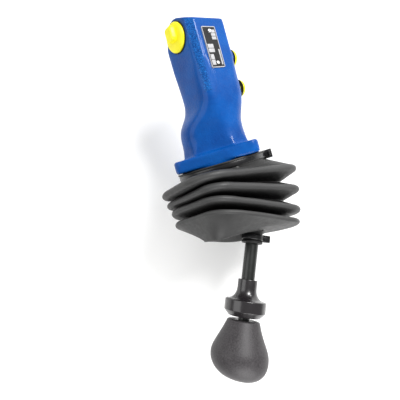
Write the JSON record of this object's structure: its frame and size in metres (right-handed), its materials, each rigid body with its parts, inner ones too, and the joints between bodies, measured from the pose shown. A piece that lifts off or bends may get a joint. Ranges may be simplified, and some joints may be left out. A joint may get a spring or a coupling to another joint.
{
  "type": "hydraulic pilot joystick valve",
  "caption": "Hydraulic pilot control valve with a cast port block, turned square flange, folded rubber boot, cranked lever, sliding lock ring and round knob.",
  "frame": {"origin": "centre of the mounting flange's underside, on the tapped hole circle", "axes": "+Z towards the lever and knob, -Z towards the port block; -Y out of the nameplate; the lever tilts in the XZ plane, with the knob leaning to +X and the crank to -X"},
  "size_m": [0.1155, 0.0828, 0.2691],
  "materials": {
    "blue_paint": "semi-gloss paint over sand casting",
    "black_steel": "satin black coating",
    "zinc_steel": "zinc plated",
    "ground_steel": "ground",
    "spring_steel": "drawn wire",
    "bronze": "machined",
    "black_rubber": "matt",
    "seal_rubber": "smooth",
    "tie_plastic": "moulded nylon",
    "ring_plastic": "glossy",
    "knob_plastic": "fine grained",
    "yellow_plastic": "moulded",
    "plate_metal": "printed black and silver"
  },
  "bodies": {
    "housing": {"housing": "blue_paint", "nameplate": "plate_metal", "nameplate_rivets": "zinc_steel", "port_seals": "seal_rubber", "port_plug_side": "yellow_plastic", "port_plug_lower": "yellow_plastic", "port_plug_upper": "yellow_plastic", "guide_bush_left": "bronze", "guide_bush_right": "bronze", "bush_o_rings": "seal_rubber", "plunger_wipers": "seal_rubber", "retaining_plate": "zinc_steel", "retaining_screws": "zinc_steel", "pivot_pin": "ground_steel", "pin_circlips": "spring_steel", "boot": "black_rubber", "boot_neck_tie": "tie_plastic", "return_spring_left": "spring_steel", "return_spring_right": "spring_steel", "control_spring_left": "spring_steel", "control_spring_right": "spring_steel"},
    "lever": {"rocker": "zinc_steel", "rocker_bushes": "bronze", "lever_rod": "black_steel", "lever_lock_nut": "zinc_steel", "boot_collar_tie": "tie_plastic", "ring_washer": "zinc_steel", "ring_circlip": "spring_steel", "lock_spring": "spring_steel", "knob": "knob_plastic", "knob_insert": "bronze"},
    "lift_ring": {"lift_ring": "ring_plastic", "lift_sleeve": "black_steel"},
    "plunger_left": {"plunger_left": "ground_steel", "spring_seat_left": "ground_steel"},
    "plunger_right": {"plunger_right": "ground_steel", "spring_seat_right": "ground_steel"},
    "spool_left": {"spool_left": "ground_steel"},
    "spool_right": {"spool_right": "ground_steel"}
  },
  "joints": [
    {"name": "lever_tilt", "type": "hinge", "parent": "housing", "child": "lever", "pos_m": [0, 0, 0.02], "axis": [0, 1, 0], "range_deg": [-19, 19], "stiffness_Nm_per_rad": 4.5, "deforming": ["boot"]},
    {"name": "ring_lift", "type": "slide", "parent": "lever", "child": "lift_ring", "axis": [0.5, 0, 0.866], "range_m": [0, 0.0025], "stiffness_N_per_m": 800, "deforming": ["lock_spring"]},
    {"name": "plunger_left_slide", "type": "slide", "parent": "housing", "child": "plunger_left", "axis": [0, 0, 1], "range_m": [-0.0029, 0.0029], "deforming": ["return_spring_left", "control_spring_left"]},
    {"name": "plunger_right_slide", "type": "slide", "parent": "housing", "child": "plunger_right", "axis": [0, 0, 1], "range_m": [-0.0029, 0.0029], "deforming": ["return_spring_right", "control_spring_right"]},
    {"name": "spool_left_slide", "type": "slide", "parent": "housing", "child": "spool_left", "axis": [0, 0, 1], "range_m": [-0.0011, 0.0011]},
    {"name": "spool_right_slide", "type": "slide", "parent": "housing", "child": "spool_right", "axis": [0, 0, 1], "range_m": [-0.0011, 0.0011]}
  ],
  "couplings": [
    {"joint": "plunger_left_slide", "follows": "lever_tilt", "m_per_rad": 0.0085},
    {"joint": "plunger_right_slide", "follows": "lever_tilt", "m_per_rad": -0.0085},
    {"joint": "spool_left_slide", "follows": "lever_tilt", "m_per_rad": 0.003},
    {"joint": "spool_right_slide", "follows": "lever_tilt", "m_per_rad": -0.003}
  ]
}
